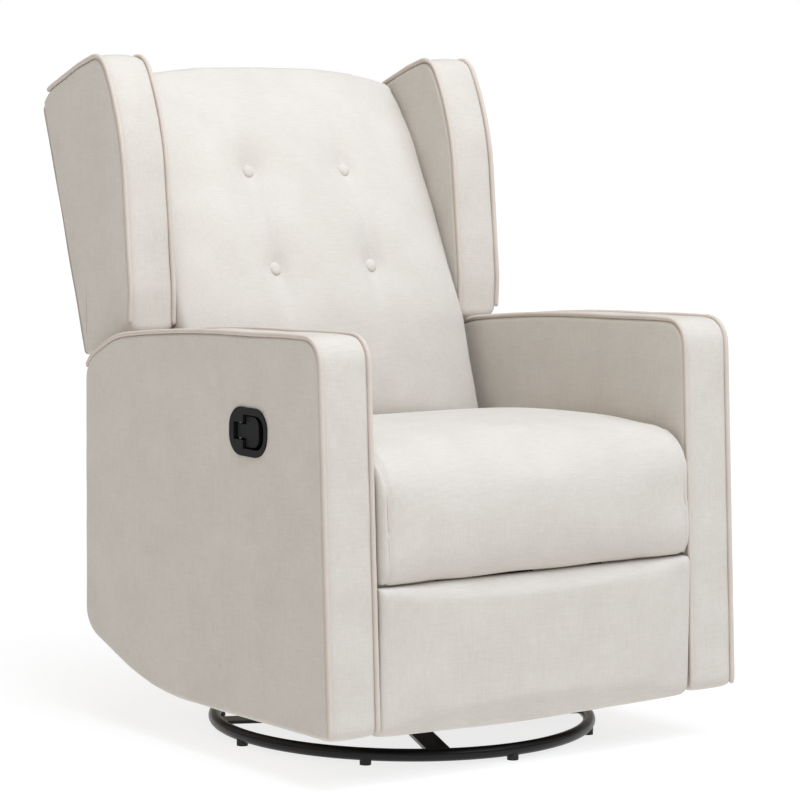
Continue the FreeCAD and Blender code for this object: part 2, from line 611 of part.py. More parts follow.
def button(name, sign, depth, height):
    """A covered button: a low dome that faces forwards."""
    dome = doc.addObject("Part::Sphere", name)
    dome.setExpression("Radius", words("$button_size"))
    dome.Angle1 = 0
    away = Rotation(V(0, 0, 1), V(0, -1, 0))
    turn = Rotation(V(1, 0, 0), -number("$back_lean"))
    foot = V(0, number("$back_foot_y"), number("$back_foot_z"))
    x = sign * number("$button_across")
    dome.Placement = Placement(foot + turn.multVec(V(x, depth, height)), turn * away)
    return dome


def make_recline_hinges():
    """Steel plates at the foot of the back, and the pins that it turns on."""
    lean = math.radians(number("$back_lean"))
    post_y = number("$back_foot_y") - 24 * math.cos(lean) + 70 * math.sin(lean)
    post_z = number("$back_foot_z") + 70 * math.cos(lean) + 24 * math.sin(lean)
    moving = strap("back_plate", [("$pivot_y", "$pivot_z"), (post_y, post_z)], 14,
                   "$back_plate", "$bracket_thick", ["$pin_size + $pin_play", 3])
    keep("back_brackets", pair("back_bracket_pair", moving))
    outline = [("$seat_back - 34", "$seat_low"), ("$seat_back", "$seat_low"),
               ("$pivot_y + 14", "$pivot_z"), ("$pivot_y - 14", "$pivot_z"),
               ("$seat_back - 34", "$seat_low + $seat_rail_high")]
    fixed = slab("seat_plate", outline, "$frame_plate", "$bracket_thick", {2: 14.001},
                 [("$pivot_y", "$pivot_z", "$pin_size")])
    keep("recline_brackets", pair("recline_bracket_pair", fixed))
    hinge_pin = pin("recline_pin", "$frame_plate + $bracket_thick", "$back_plate - 0.4",
                    "$pivot_y", "$pivot_z")
    keep("recline_pins", pair("recline_pin_pair", hinge_pin))


def make_footrest():
    """Hangers, torque tube, two pairs of folding links, brackets, board and pad."""
    knee = ("$knee_y", "$knee_z")
    elbow = ("$elbow_y", "$elbow_z")
    ankle = ("$ankle_y", "$ankle_z")
    first = "$strap_first"
    second = "$strap_first + $strap_thick + 1.5"
    third = "$strap_first + 2 * ($strap_thick + 1.5)"
    tube = rod("torque_outside", "-$strap_first - $strap_thick", *knee, "$torque_size",
               "2 * ($strap_first + $strap_thick)", (1, 0, 0))
    tube_bore = rod("torque_bore", "-$strap_first - $strap_thick", *knee, "$rivet + $pin_play",
                    "2 * ($strap_first + $strap_thick)", (1, 0, 0))
    keep("footrest_torque_tube", cut("torque_tube", tube, tube_bore))
    inner = strap("inner_link", [knee, elbow], "$strap_half", first, "$strap_thick",
                  ["$torque_size", "$rivet"])
    keep("footrest_inner_links", pair("inner_link_pair", inner))
    outer = strap("outer_link", [elbow, ankle], "$strap_half", second, "$strap_thick",
                  ["$rivet + $pin_play", "$rivet + $pin_play"])
    keep("footrest_outer_links", pair("outer_link_pair", outer))

    hanger = slab("hanger", [("$knee_y - 14", "$knee_z"), ("$knee_y + 14", "$knee_z"),
                             ("$knee_y + 14", "$seat_low"), ("$knee_y - 14", "$seat_low")],
                  second, "$strap_thick + 1", {0: 14.001},
                  [(knee[0], knee[1], "$rivet")])
    keep("footrest_hangers", pair("hanger_pair", hanger))
    knee_pin = pin("knee_pin", "%s + $strap_thick + 1" % second, "$strap_first - 14", *knee,
                   "$rivet")
    keep("footrest_knee_pins", pair("knee_pin_pair", knee_pin))
    elbow_pin = pin("elbow_pin", "%s + $strap_thick + 0.4" % second, first, *elbow, "$rivet")
    keep("footrest_elbow_rivets", pair("elbow_pin_pair", elbow_pin))

    bracket = slab("ankle_bracket", [("$ankle_y + 12", "$ankle_z"), ("$foot_back", 250),
                                     ("$foot_back", 180), ("$ankle_y", "$ankle_z - 12")],
                   third, "$strap_thick", {3: 12.001}, [(ankle[0], ankle[1], "$rivet")])
    keep("footrest_brackets", pair("bracket_pair", bracket))
    ankle_pin = pin("ankle_pin", "%s - 0.4" % second, "%s + $strap_thick" % third, *ankle,
                    "$rivet")
    keep("footrest_ankle_rivets", pair("ankle_pin_pair", ankle_pin))
    keep("footrest_board", block("footrest_board", "-$panel_half + 16", "$foot_board",
                                 "$foot_low + 10", "2 * ($panel_half - 16)",
                                 "$foot_back - $foot_board", "$foot_top - $foot_low - 20"))
    pad = [("$foot_face + 4", "$foot_low + 5"), ("$foot_board - 3", "$foot_low"),
           ("$foot_board", "$foot_low + 4"), ("$foot_board", "$foot_top - 4"),
           ("$foot_board - 3", "$foot_top"), ("$foot_face + $foot_round", "$foot_top"),
           ("$foot_face", "$foot_top - $foot_round"), ("$foot_face", "$foot_low + 22")]
    keep("footrest_pad", slab("footrest_pad", pad, "-$panel_half", "2 * $panel_half",
                              {5: "$foot_round", 7: 24}))


def check_and_write():
    doc.recompute()
    faults = [item.Name for item in doc.Objects
              if any(word in item.State for word in ("Invalid", "Error"))]
    for label, piece in nodes.items():
        if piece.Shape.isNull() or not piece.Shape.isValid() or not piece.Shape.Solids:
            faults.append(label)
    if faults:
        raise RuntimeError("not made: " + ", ".join(faults))
    os.makedirs("parts", exist_ok=True)
    for label, piece in nodes.items():
        piece.Shape.exportStep("parts/%s.step" % label)
    print("%d nodes, %d solids" % (len(nodes), sum(len(p.Shape.Solids) for p in nodes.values())))


make_stand(make_base())
make_under_frame()
make_seat_cushion()
make_arm()
make_handle()
make_back()
make_recline_hinges()
make_footrest()
check_and_write()
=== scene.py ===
"""Looks of the swivel glider nursery chair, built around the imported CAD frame."""
import json
import math

import bmesh
import bpy
import numpy as np
from mathutils import Matrix, Vector, noise
from mathutils.bvhtree import BVHTree

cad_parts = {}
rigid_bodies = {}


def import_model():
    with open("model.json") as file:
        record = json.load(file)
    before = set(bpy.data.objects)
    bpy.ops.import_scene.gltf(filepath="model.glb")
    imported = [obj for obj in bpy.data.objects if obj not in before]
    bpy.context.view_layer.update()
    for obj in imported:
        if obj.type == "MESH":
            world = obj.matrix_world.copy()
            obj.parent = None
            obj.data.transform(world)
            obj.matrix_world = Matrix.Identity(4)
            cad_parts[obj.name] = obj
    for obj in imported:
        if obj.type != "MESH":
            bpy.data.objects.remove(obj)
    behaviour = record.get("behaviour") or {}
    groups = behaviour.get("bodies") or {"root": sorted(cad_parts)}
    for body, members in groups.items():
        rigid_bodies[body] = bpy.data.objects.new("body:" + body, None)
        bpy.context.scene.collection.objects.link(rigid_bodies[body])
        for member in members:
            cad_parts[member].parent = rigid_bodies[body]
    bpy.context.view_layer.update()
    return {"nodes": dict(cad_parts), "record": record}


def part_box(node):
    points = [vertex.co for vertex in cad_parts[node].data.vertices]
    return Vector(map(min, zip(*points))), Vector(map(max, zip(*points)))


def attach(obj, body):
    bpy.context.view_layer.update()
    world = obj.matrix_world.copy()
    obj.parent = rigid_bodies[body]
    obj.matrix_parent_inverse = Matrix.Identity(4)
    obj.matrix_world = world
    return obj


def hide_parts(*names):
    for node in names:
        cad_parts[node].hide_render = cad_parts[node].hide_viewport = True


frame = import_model()
NODES = frame["nodes"]

# the back leans: its own depth and height are measured from the foot of its rear face
BACK_FOOT = Vector((0, 0.231, 0.400))
BACK_LEAN = math.radians(18.87)
TURN_BACK = Matrix.Rotation(-BACK_LEAN, 4, "X")
BASE_CENTRE = (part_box("base_ring")[0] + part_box("base_ring")[1]) / 2

WELT = 0.0037
SEAM = 0.0014


def lean(x, depth, height):
    """A point of the leaning back, in the row frame."""
    return BACK_FOOT + TURN_BACK @ Vector((x, depth, height))


def upright(points):
    """Row frame points as (x, depth, height) of the leaning back."""
    turn = np.array(TURN_BACK.to_3x3())
    return (np.asarray(points) - np.array(BACK_FOOT)) @ turn


def leaned(own):
    """The other way: (x, depth, height) of the leaning back as row frame points."""
    return own @ np.array(TURN_BACK.to_3x3()).T + np.array(BACK_FOOT)


# ------------------------------------------------------------------ materials

def new_material(name):
    material = bpy.data.materials.new(name)
    material.use_nodes = True
    tree = material.node_tree
    shader = tree.nodes["Principled BSDF"]
    return material, tree, shader


def maths(tree, operation, a, b=None):
    """One arithmetic node; a and b are numbers or sockets."""
    made = tree.nodes.new("ShaderNodeMath")
    made.operation = operation
    for i, value in enumerate((a, b)):
        if value is None:
            continue
        if isinstance(value, (int, float)):
            made.inputs[i].default_value = value
        else:
            tree.links.new(value, made.inputs[i])
    return made.outputs[0]


def stretched_noise(tree, coordinates, scales, detail=2.0):
    """Noise drawn out along the axes with the small scales, as a slub in a thread."""
    mapping = tree.nodes.new("ShaderNodeMapping")
    mapping.inputs["Scale"].default_value = scales
    tree.links.new(coordinates, mapping.inputs["Vector"])
    made = tree.nodes.new("ShaderNodeTexNoise")
    made.inputs["Scale"].default_value = 1.0
    made.inputs["Detail"].default_value = detail
    tree.links.new(mapping.outputs[0], made.inputs["Vector"])
    return made.outputs["Fac"]


def blend(tree, share, dark, light, top=1.0):
    """A colour ramp from dark at 0 to light at top."""
    ramp = tree.nodes.new("ShaderNodeValToRGB")
    low, high = ramp.color_ramp.elements
    low.color = (*dark, 1)
    high.position = top
    high.color = (*light, 1)
    tree.links.new(share, ramp.inputs[0])
    return ramp.outputs[0]


def raise_relief(tree, shader, height, strength, distance):
    """Bumps the shader's normal by a height."""
    relief = tree.nodes.new("ShaderNodeBump")
    relief.inputs["Strength"].default_value = strength
    relief.inputs["Distance"].default_value = distance
    tree.links.new(height, relief.inputs["Height"])
    tree.links.new(relief.outputs[0], shader.inputs["Normal"])


def weave_material(name, light, dark, slub=0.5, bump=0.25):
    """Linen-look cloth: threads with slubs both ways on every side, mottling and fine bump."""
    material, tree, shader = new_material(name)
    place = tree.nodes.new("ShaderNodeTexCoord")
    split = tree.nodes.new("ShaderNodeSeparateXYZ")
    tree.links.new(place.outputs["Normal"], split.inputs[0])
    here = place.outputs["Object"]
    fine, long, cloud, fuzz = 620.0, 46.0, 14.0, 900.0
    sides = []
    for axis, first, second in (("Z", (fine, long, fine), (long, fine, fine)),
                                ("Y", (fine, fine, long), (long, fine, fine)),
                                ("X", (fine, fine, long), (fine, long, fine))):
        threads = maths(tree, "ADD", stretched_noise(tree, here, first),
                        stretched_noise(tree, here, second))
        facing = maths(tree, "POWER", maths(tree, "ABSOLUTE", split.outputs[axis]), 2.0)
        sides.append(maths(tree, "MULTIPLY", threads, facing))
    slubs = maths(tree, "ADD", maths(tree, "ADD", sides[0], sides[1]), sides[2])
    mottle = stretched_noise(tree, here, (cloud, cloud, cloud), 3.0)
    mix = maths(tree, "ADD", maths(tree, "MULTIPLY", maths(tree, "SUBTRACT", slubs, 1.0), slub),
                maths(tree, "MULTIPLY", mottle, 0.45))
    tree.links.new(blend(tree, mix, dark, light, 0.5), shader.inputs["Base Color"])
    grain = stretched_noise(tree, here, (fuzz, fuzz, fuzz), 1.0)
    height = maths(tree, "ADD", slubs, maths(tree, "MULTIPLY", grain, 0.6))
    raise_relief(tree, shader, height, bump, 0.0006)
    shader.inputs["Roughness"].default_value = 0.88
    shader.inputs["Sheen Weight"].default_value = 0.18
    shader.inputs["Sheen Roughness"].default_value = 0.45
    shader.inputs["Specular IOR Level"].default_value = 0.25
    return material


def coated_material(name, colour, roughness, metallic=0.0, gloss=0.5, grain=300.0):
    """Painted, plated or moulded surface with fine orange peel and uneven gloss."""
    material, tree, shader = new_material(name)
    place = tree.nodes.new("ShaderNodeTexCoord")
    here = place.outputs["Object"]
    cloud = stretched_noise(tree, here, (22.0, 22.0, 22.0), 4.0)
    peel = stretched_noise(tree, here, (grain, grain, grain), 2.0)
    rough = tree.nodes.new("ShaderNodeMapRange")
    wear = 0.15
    rough.inputs["To Min"].default_value = roughness * (1 - wear)
    rough.inputs["To Max"].default_value = roughness * (1 + wear * 2)
    tree.links.new(cloud, rough.inputs["Value"])
    tree.links.new(rough.outputs[0], shader.inputs["Roughness"])
    dark = [c * 0.85 for c in colour]
    light = [min(1, c * 1.2 + 0.002) for c in colour]
    tree.links.new(blend(tree, cloud, dark, light), shader.inputs["Base Color"])
    raise_relief(tree, shader, peel, 0.08, 0.0003)
    shader.inputs["Metallic"].default_value = metallic
    shader.inputs["Specular IOR Level"].default_value = gloss
    return material


def timber_material(name):
    """Plain softwood: long grain with darker late rings."""
    material, tree, shader = new_material(name)
    place = tree.nodes.new("ShaderNodeTexCoord")
    rings = stretched_noise(tree, place.outputs["Object"], (6.0, 90.0, 90.0), 4.0)
    late, early = (0.36, 0.22, 0.11), (0.66, 0.49, 0.30)
    tree.links.new(blend(tree, rings, late, early), shader.inputs["Base Color"])
    raise_relief(tree, shader, rings, 0.2, 0.0005)
    shader.inputs["Roughness"].default_value = 0.6
    return material


FABRIC = weave_material("ivory_linen", (0.655, 0.617, 0.565), (0.56, 0.522, 0.472))
PIPING = weave_material("ivory_piping", (0.665, 0.592, 0.53), (0.57, 0.505, 0.447), slub=0.4)
LINING = weave_material("black_webbing", (0.03, 0.03, 0.03), (0.012, 0.012, 0.012), bump=0.5)
STEEL = coated_material("black_powder_coat", (0.004, 0.004, 0.0045), 0.30, gloss=0.3)
ZINC = coated_material("zinc_plate", (0.55, 0.55, 0.57), 0.32, metallic=1.0)
BALL = coated_material("bearing_steel", (0.75, 0.75, 0.76), 0.12, metallic=1.0)
NYLON = coated_material("nylon", (0.80, 0.79, 0.74), 0.4)
PLASTIC = coated_material("black_plastic", (0.0085, 0.010, 0.0095), 0.50, gloss=0.13,
                          grain=1400.0)
RUBBER = coated_material("black_rubber", (0.012, 0.012, 0.012), 0.7)
TIMBER = timber_material("pine")

CAD_MATERIALS = {"webbing": LINING, "timber": TIMBER, "black_steel": STEEL, "zinc_steel": ZINC,
                 "bright_steel": BALL, "nylon": NYLON, "black_plastic": PLASTIC,
                 "rubber_foot": RUBBER, "fabric": FABRIC}


def paint_cad_nodes():
    """Gives each CAD node the material of its slot in the record."""
    for part in frame["record"]["subparts"]:
        piece = NODES[part["node"]]
        piece.data.materials.clear()
        piece.data.materials.append(CAD_MATERIALS[part["material_slot"]])


# ------------------------------------------------------------------ mesh helpers

def new_piece(name, points, faces, material, body):
    """A smooth mesh piece that rides on a body."""
    mesh = bpy.data.meshes.new(name)
    mesh.from_pydata([tuple(p) for p in points], [], [tuple(f) for f in faces])
    mesh.validate()
    clean = bmesh.new()
    clean.from_mesh(mesh)
    bmesh.ops.recalc_face_normals(clean, faces=clean.faces)
    clean.to_mesh(mesh)
    clean.free()
    mesh.materials.append(material)
    mesh.polygons.foreach_set("use_smooth", [True] * len(mesh.polygons))
    piece = bpy.data.objects.new(name, mesh)
    bpy.context.scene.collection.objects.link(piece)
    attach(piece, body)
    return piece


def modifier(piece, kind, **settings):
    made = piece.modifiers.new(kind.title(), kind)
    for key, value in settings.items():
        setattr(made, key, value)
    return made


def apply_modifiers(piece):
    """The evaluated mesh becomes the piece's own mesh."""
    bpy.context.view_layer.update()
    graph = bpy.context.evaluated_depsgraph_get()
    mesh = bpy.data.meshes.new_from_object(piece.evaluated_get(graph))
    piece.modifiers.clear()
    old = piece.data
    piece.data = mesh
    mesh.name = piece.name
    bpy.data.meshes.remove(old)
    mesh.polygons.foreach_set("use_smooth", [True] * len(mesh.polygons))


def get_points(piece):
    """A piece's points, one row each."""
    points = np.zeros(len(piece.data.vertices) * 3)
    piece.data.vertices.foreach_get("co", points)
    return points.reshape(-1, 3)


def set_points(piece, points):
    piece.data.vertices.foreach_set("co", np.asarray(points, float).ravel())
    piece.data.update()


def get_normals(piece):
    normals = np.zeros(len(piece.data.vertices) * 3)
    piece.data.vertices.foreach_get("normal", normals)
    return normals.reshape(-1, 3)


def ruffle(piece, amount, size, seed):
    """Small unevenness of stretched cloth over foam."""
    points = get_points(piece)
    normals = get_normals(piece)
    offset = Vector((seed, seed * 1.7, -seed))
    waves = np.array([noise.noise(Vector(p) / size + offset) for p in points])
    set_points(piece, points + normals * (waves * amount)[:, None])


def side_loop(name):
    """A CAD slab's outline in the side view, as (y, z) points, counter-clockwise."""
    mesh = NODES[name].data
    high = max(v.co.x for v in mesh.vertices)
    used = {}
    for face in mesh.polygons:
        if all(abs(mesh.vertices[i].co.x - high) < 1e-5 for i in face.vertices):
            keys = [tuple(round(c, 5) for c in mesh.vertices[i].co.yz) for i in face.vertices]
            for a, b in zip(keys, keys[1:] + keys[:1]):
                edge = (min(a, b), max(a, b))
                used[edge] = used.get(edge, 0) + 1
    links = {}
    for (a, b), count in used.items():
        if count == 1 and a != b:
            links.setdefault(a, []).append(b)
            links.setdefault(b, []).append(a)
    loops = []
    while links:
        start = next(iter(links))
        loop = [start]
        before, here = None, start
        while True:
            options = [p for p in links[here] if p != before]
            before, here = here, options[0]
            if here == start:
                break
            loop.append(here)
        for point in loop:
            links.pop(point)
        loops.append(np.array(loop))
    loop = max(loops, key=lambda points: np.ptp(points[:, 0]) + np.ptp(points[:, 1]))
    following = np.roll(loop, -1, 0)
    area = np.sum(loop[:, 0] * following[:, 1] - following[:, 0] * loop[:, 1])
    return loop if area > 0 else loop[::-1]


def resample(points, step, closed=True):
    """The same line with evenly spaced points."""
    points = np.asarray(points, float)
    if closed:
        points = np.vstack([points, points[:1]])
    lengths = np.linalg.norm(np.diff(points, axis=0), axis=1)
    run = np.concatenate([[0], np.cumsum(lengths)])
    count = max(3, int(round(run[-1] / step)))
    stops = np.linspace(0, run[-1], count + 1)
    even = np.column_stack([np.interp(stops, run, points[:, i]) for i in range(points.shape[1])])
    return even[:-1] if closed else even


def soften(points, times, closed=True):
    """Rounds the corners of an evenly spaced line."""
    for _ in range(times):
        before, after = np.roll(points, 1, 0), np.roll(points, -1, 0)
        smooth = (before + 2 * points + after) / 4
        if not closed:
            smooth[0], smooth[-1] = points[0], points[-1]
        points = smooth
    return points


def rounded(corners, radii, step=0.004):
    """An outline through corners, each rounded to its own radius."""
    corners = [np.array(c, float) for c in corners]
    line = []
    for i, corner in enumerate(corners):
        before, after = corners[i - 1] - corner, corners[(i + 1) % len(corners)] - corner
        before, after = before / np.linalg.norm(before), after / np.linalg.norm(after)
        half = math.acos(np.clip(before @ after, -1, 1)) / 2
        reach = radii[i] / math.tan(half)
        centre = corner + (before + after) / np.linalg.norm(before + after) * (
            radii[i] / math.sin(half))
        start, end = corner + before * reach - centre, corner + after * reach - centre
        for share in np.linspace(0, 1, 9):
            way = start * (1 - share) + end * share
            line.append(centre + way / np.linalg.norm(way) * radii[i])
    return resample(line, step)


def outwards(loop):
    """Unit normals that point out of a counter-clockwise loop."""
    along = np.roll(loop, -1, 0) - np.roll(loop, 1, 0)
    normals = np.column_stack([along[:, 1], -along[:, 0]])
    return normals / np.linalg.norm(normals, axis=1)[:, None]


def ring_faces(rings, count, closed=False):
    """Faces between rings of count points each. closed joins the last ring to the first."""
    faces = []
    for a in range(rings if closed else rings - 1):
        b = (a + 1) % rings
        for i in range(count):
            j = (i + 1) % count
            faces.append((a * count + i, a * count + j, b * count + j, b * count + i))
    return faces


def sideways(x, y, z):
    """A ring_solid's level runs along x, and its outline lies in the side view."""
    return (x, y, z)


def ring_solid(name, loop, profile, material, body, place=sideways):
    """A closed form from rings that follow an outline. Each ring of the profile is
    (level, outwards, shrink): its place along the form's axis, how far it stands out, and
    how far it has shrunk towards the middle."""
    normals = outwards(loop)
    middle = loop.mean(0)
    count = len(loop)
    points = []
    for x, out, shrink in profile:
        ring = loop + normals * out
        ring = middle + (ring - middle) * (1 - shrink)
        points += [place(x, a, b) for a, b in ring]
    faces = ring_faces(len(profile), count)
    for level in (0, len(profile) - 1):
        centre = len(points)
        points.append(place(profile[level][0], *middle))
        faces += [(centre, level * count + i, level * count + (i + 1) % count)
                  for i in range(count)]
    return new_piece(name, points, faces, material, body)


def tube(name, path, radius, material, body, uneven=0.0):
    """A round cord along a line, with its ends tucked to a point."""
    path = np.asarray(path, float)
    along = np.gradient(path, axis=0)
    along /= np.linalg.norm(along, axis=1)[:, None]
    sides = 10
    lumps = 45
    tucked = 0.35
    reference = np.array([1.0, 0.0, 0.0])
    count = len(path)
    points = []
    for i, (centre, way) in enumerate(zip(path, along)):
        first = reference - way * (reference @ way)
        first /= np.linalg.norm(first)
        second = np.cross(way, first)
        size = radius * (1 + uneven * noise.noise(Vector(centre) * lumps))
        if i in (0, count - 1):
            size *= tucked
        for k in range(sides):
            angle = 2 * math.pi * k / sides
            points.append(centre + size * (first * math.cos(angle) + second * math.sin(angle)))
    faces = ring_faces(count, sides)
    faces.append(tuple(range(sides))[::-1])
    faces.append(tuple((count - 1) * sides + k for k in range(sides)))
    return new_piece(name, points, faces, material, body)


def move_leaning(piece, change):
    """Changes a piece's points in the back's own depth and height."""
    own = upright(get_points(piece))
    change(own)
    set_points(piece, leaned(own))


def join(name, pieces):
    """Several pieces become one."""
    with bpy.context.temp_override(active_object=pieces[0], selected_editable_objects=pieces,
                                   selected_objects=pieces, object=pieces[0]):
        bpy.ops.object.join()
    pieces[0].name = name
    return pieces[0]


SWELL_FRAMES = 20


def inflate(piece, pressure, cap, free, voxel=0.007):
    """Swells a closed form as stuffed cloth, by no more than cap anywhere. free gives each
    point's share of movement."""
    modifier(piece, "REMESH", mode="VOXEL", voxel_size=voxel)
    apply_modifiers(piece)
    start = get_points(piece)
    share = np.clip(free(start), 0, 1)
    group = piece.vertex_groups.new(name="held")
    for i, value in enumerate(share):
        group.add([i], float(1 - value), "REPLACE")
    parent = piece.parent
    piece.parent = None
    cloth = modifier(piece, "CLOTH")
    settings = cloth.settings
    settings.quality = 4
    settings.mass = 0.3
    settings.tension_stiffness = 12
    settings.compression_stiffness = 12
    settings.shear_stiffness = 6
    settings.bending_stiffness = 0.4
    settings.use_pressure = True
    settings.uniform_pressure_force = pressure
    settings.vertex_group_mass = "held"
    settings.effector_weights.gravity = 0
    cloth.collision_settings.use_collision = False
    cloth.point_cache.frame_start = 1
    cloth.point_cache.frame_end = SWELL_FRAMES
    scene = bpy.context.scene
    for number in range(1, SWELL_FRAMES + 1):
        scene.frame_set(number)
    graph = bpy.context.evaluated_depsgraph_get()
    swollen = piece.evaluated_get(graph).data
    after = np.zeros(len(swollen.vertices) * 3)
    swollen.vertices.foreach_get("co", after)
    move = after.reshape(-1, 3) - start
    size = np.linalg.norm(move, axis=1)
    move *= np.minimum(1, cap / np.maximum(size, 1e-9))[:, None]
    piece.modifiers.clear()
    piece.vertex_groups.clear()
    scene.frame_set(1)
    piece.parent = parent
    set_points(piece, start + move)


def surface_line(piece, points, towards, lift=0.0):
    """Points brought onto a piece's surface, coming from outside. lift keeps them off it."""
    tree = BVHTree.FromObject(piece, bpy.context.evaluated_depsgraph_get())
    found = []
    for point, way in zip(points, towards):
        way = Vector(way).normalized()
        spot = tree.ray_cast(Vector(point) - way * 0.06, way)[0]
        if spot is None:
            spot = tree.find_nearest(Vector(point))[0]
        found.append(spot - way * lift)
    return np.array([tuple(p) for p in found])


# ------------------------------------------------------------------ arms

ARM_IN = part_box("arm_inner_pad_left")[0].x
ARM_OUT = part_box("arm_outer_panel_left")[1].x
ARM_LOOP = soften(resample(side_loop("arm_outer_panel_left"), 0.004), 8)
FACE_SHRINKS = (0.012, 0.028, 0.05, 0.08, 0.115) + tuple(np.arange(0.155, 0.97, 0.04))


def face_rings(x, way, crown, out):
    """Rings of a slightly crowned flat face, from its edge to its middle."""
    return [(x + way * crown * (1 - (1 - s) ** 3), out, s) for s in FACE_SHRINKS]


def hand_of(side):
    return "left" if side > 0 else "right"


def mirrored(profile, side):
    """A profile for the sitter's left (side 1) or right (side -1)."""
    return [(side * x, *rest) for x, *rest in profile]


def stretch_of(loop, first, last, x):
    """The part of a side view outline from one of its points on to another, as a line at x."""
    path = np.roll(loop, -first, 0)[:(last - first) % len(loop) + 1]
    return np.column_stack([np.full(len(path), x), path])


def make_arm(side):
    """An arm's outer panel, padded band and inner pad, with the piping between them."""
    hand = hand_of(side)
    seam_out = ARM_OUT - 0.0045
    seam_in = ARM_IN + 0.0040
    hidden_rings = [(-0.02, s) for s in (0.9, 0.5, 0.1)]

    outer = [(ARM_OUT - 0.0105, -0.0035, 0), (ARM_OUT - 0.0075, -0.0030, 0),
             (seam_out, -0.0030, 0), (ARM_OUT - 0.0022, -0.0040, 0),
             (ARM_OUT - 0.0008, -0.0065, 0), (ARM_OUT - 0.0002, -0.0100, 0)]
    outer += face_rings(ARM_OUT - 0.0002, 1, 0.0012, -0.0100)
    back = [(ARM_OUT - 0.0105, o, s) for o, s in hidden_rings]
    panel = ring_solid("arm_outer_cover_" + hand, ARM_LOOP, mirrored(back + outer, side),
                       FABRIC, "chair_frame")

    inner = [(ARM_IN + 0.012, -0.0035, 0), (ARM_IN + 0.008, -0.0030, 0), (seam_in, -0.0030, 0),
             (ARM_IN + 0.0016, -0.0045, 0), (ARM_IN + 0.0004, -0.0075, 0),
             (ARM_IN, -0.0110, 0)]
    inner += face_rings(ARM_IN, -1, 0.0010, -0.0110)
    back = [(ARM_IN + 0.012, o, s) for o, s in hidden_rings]
    pad = ring_solid("arm_inner_cover_" + hand, ARM_LOOP, mirrored(back + inner, side),
                     FABRIC, "chair_frame")

    width = seam_out - seam_in
    across = [0, 0.012, 0.035, 0.08, 0.15, 0.26, 0.4, 0.5, 0.6, 0.74, 0.85, 0.92, 0.965, 0.988, 1]
    bulge = [(seam_in + width * u, -0.0032 + 0.0046 * (1 - abs(2 * u - 1) ** 5) ** 0.6)
             for u in across]
    inside = [(seam_in + width * u, -0.014) for u in (1, 0.5, 0)]
    band = ring_band("arm_band_cover_" + hand, ARM_LOOP, mirrored(bulge + inside, side))
    for piece, seed in ((panel, 3.0), (pad, 5.0), (band, 8.0)):
        ruffle(piece, 0.0009, 0.075, seed * side)
    if side < 0:
        open_for_handle(panel)
    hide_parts("arm_outer_panel_" + hand)
    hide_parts("arm_inner_pad_" + hand)
    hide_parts("arm_band_" + hand)
    for place, x in (("outer", seam_out + 0.0010), ("inner", seam_in - 0.0010)):
        cord = tube("arm_%s_welt_%s" % (place, hand), arm_welt_path(side * x), WELT, PIPING,
                    "chair_frame", uneven=0.06)


def open_for_handle(panel):
    """The hole in the right arm's outer panel that the handle's cup goes through."""
    low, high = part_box("handle_bezel")
    edge = 0.004
    corners = [(low.y + edge, low.z + edge), (high.y - edge, low.z + edge),
               (high.y - edge, high.z - edge), (low.y + edge, high.z - edge)]
    hole = rounded(corners, [0.027] * 4, 0.003)
    beyond, within = -0.40, -0.36
    ends = [(beyond, 0, 0.9), (beyond, 0, 0), (within, 0, 0), (within, 0, 0.9)]
    cutter = ring_solid("handle_hole", hole, ends, FABRIC, "chair_frame")
    modifier(panel, "BOOLEAN", operation="DIFFERENCE", solver="EXACT", object=cutter)
    apply_modifiers(panel)
    bpy.data.objects.remove(cutter)


def ring_band(name, loop, profile):
    """A closed band that follows an outline, open in the middle."""
    normals = outwards(loop)
    points = []
    for x, out in profile:
        points += [(x, y, z) for y, z in loop + normals * out]
    faces = ring_faces(len(profile), len(loop), closed=True)
    return new_piece(name, points, faces, FABRIC, "chair_frame")


def arm_welt_path(x):
    """From the front foot of the arm, up and over to the rear end of its top."""
    loop = ARM_LOOP + outwards(ARM_LOOP) * 0.0004
    foot_height, top_height = 0.079, 0.545
    front = int(np.argmin(np.abs(loop[:, 1] - foot_height) + 100 * (loop[:, 0] > -0.39)))
    rear = int(np.argmin(np.abs(loop[:, 1] - top_height) + 100 * (loop[:, 0] < 0.2)))
    return stretch_of(loop, rear, front, x)


# ------------------------------------------------------------------ wings

WING_IN, WING_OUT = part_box("wing_pad_left")[0].x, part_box("wing_pad_left")[1].x


def wing_outline():
    """The wing's side view, carried back over the edge of the outer back."""
    loop = side_loop("wing_pad_left")
    own = upright(np.column_stack([np.zeros(len(loop)), loop]))
    overlap = 0.0095
    own[:, 1] += np.where(own[:, 1] > -0.02, overlap, 0)
    return soften(resample(leaned(own)[:, 1:], 0.003), 9)


WING_LOOP = wing_outline()


def tuck_corner(points):
    """The wing's lower outer corner, rounded up towards its outer face."""
    own = upright(points)
    reach, lift = 0.022, 0.009
    corner = np.clip((np.abs(own[:, 0]) - WING_OUT + reach) / reach, 0, 1) ** 2
    corner *= np.clip((-0.115 - own[:, 1]) / 0.02, 0, 1)
    corner *= np.clip((0.215 - own[:, 2]) / 0.045, 0, 1)
    own[:, 2] += lift * corner
    return leaned(own)


